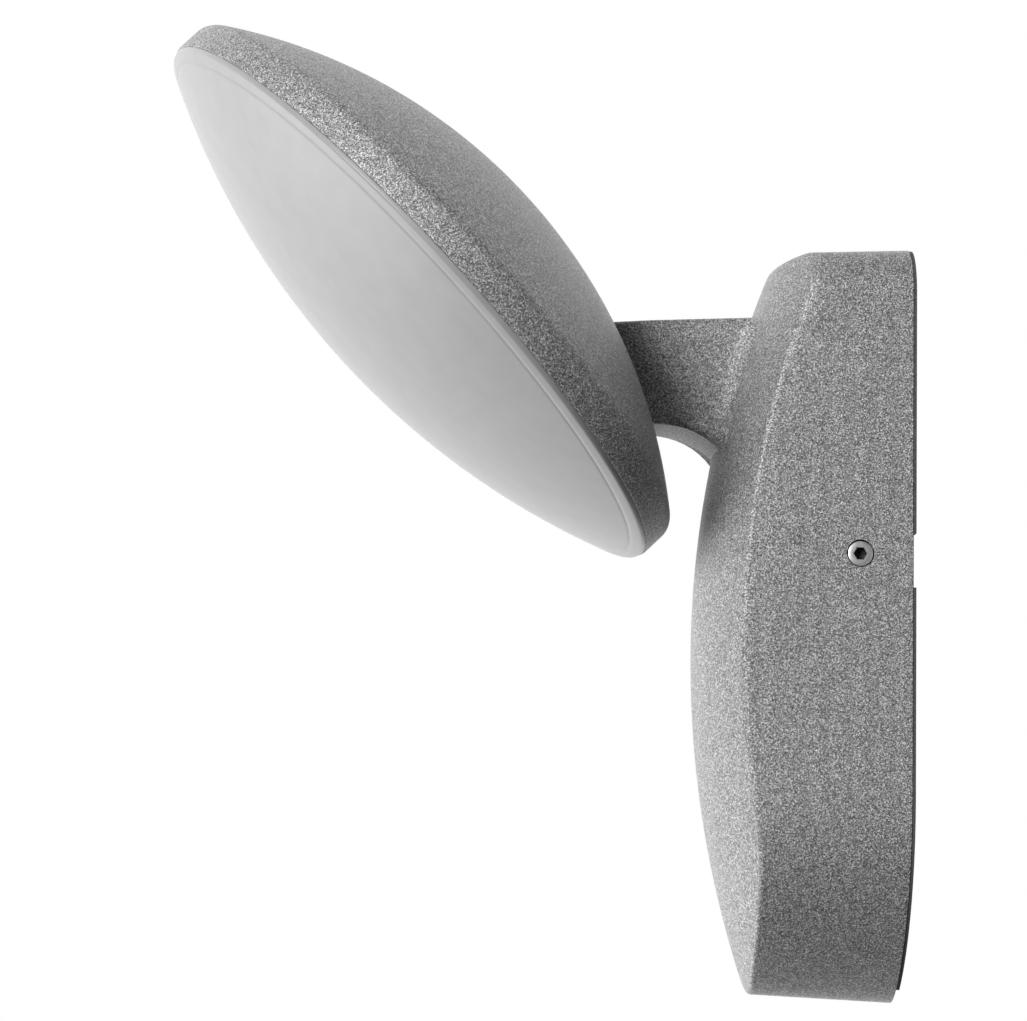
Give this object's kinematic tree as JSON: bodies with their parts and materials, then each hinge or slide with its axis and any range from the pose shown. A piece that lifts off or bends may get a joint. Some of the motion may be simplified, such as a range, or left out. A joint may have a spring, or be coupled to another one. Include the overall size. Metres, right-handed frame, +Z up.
{
  "type": "outdoor wall luminaire",
  "caption": "Round lens-shaped LED lamp head on a short cast arm, tilting on a tall shield-shaped wall housing.",
  "frame": {"origin": "on the wall plane, midway between the two slotted wall screw holes, level with the side fixing screws", "axes": "+Z up along the wall, +Y into the wall, -Y out of the wall towards the lamp head, +X to the right seen from the front"},
  "size_m": [0.15, 0.1605, 0.21],
  "materials": {
    "painted_body": "die-cast aluminium with a fine-textured silver-grey metallic powder coat",
    "opal": "opal white polycarbonate, satin",
    "stainless": "bright stainless steel",
    "zinc_steel": "zinc-plated steel",
    "bare_aluminium": "bare rolled aluminium",
    "brass": "tinned brass",
    "black_rubber": "matt black EPDM",
    "grey_pad": "soft filled silicone",
    "white_plastic": "matt white plastic",
    "board_white": "white solder mask",
    "led_yellow": "phosphor in a clear package",
    "lead_jacket": "black silicone sheath"
  },
  "bodies": {
    "wall_unit": {"wall_bracket": "zinc_steel", "wall_housing": "painted_body", "rear_gasket": "black_rubber", "side_screws": "stainless", "cable_grommet": "black_rubber", "terminal_block": "white_plastic", "terminal_screws": "zinc_steel", "terminal_fixing_screw": "zinc_steel", "led_driver": "white_plastic", "driver_screws": "zinc_steel", "earth_screw": "zinc_steel", "earth_ring": "brass", "supply_leads": "lead_jacket", "arm_lead": "lead_jacket", "pivot_bushes": "white_plastic"},
    "lamp_head": {"head_shell": "painted_body", "pivot_screws": "stainless", "friction_discs": "black_rubber", "lead_grommet": "black_rubber", "heat_spreader": "bare_aluminium", "thermal_pad": "grey_pad", "led_board": "board_white", "led_packages": "led_yellow", "board_connector": "white_plastic", "board_screws": "zinc_steel", "reflector_ring": "board_white", "head_lead": "lead_jacket", "diffuser_seal": "black_rubber", "opal_diffuser": "opal"}
  },
  "joints": [
    {"name": "head_tilt", "type": "hinge", "parent": "wall_unit", "child": "lamp_head", "pos_m": [0, -0.0705, 0.0415], "axis": [1, 0, 0], "range_deg": [-25, 5]}
  ]
}
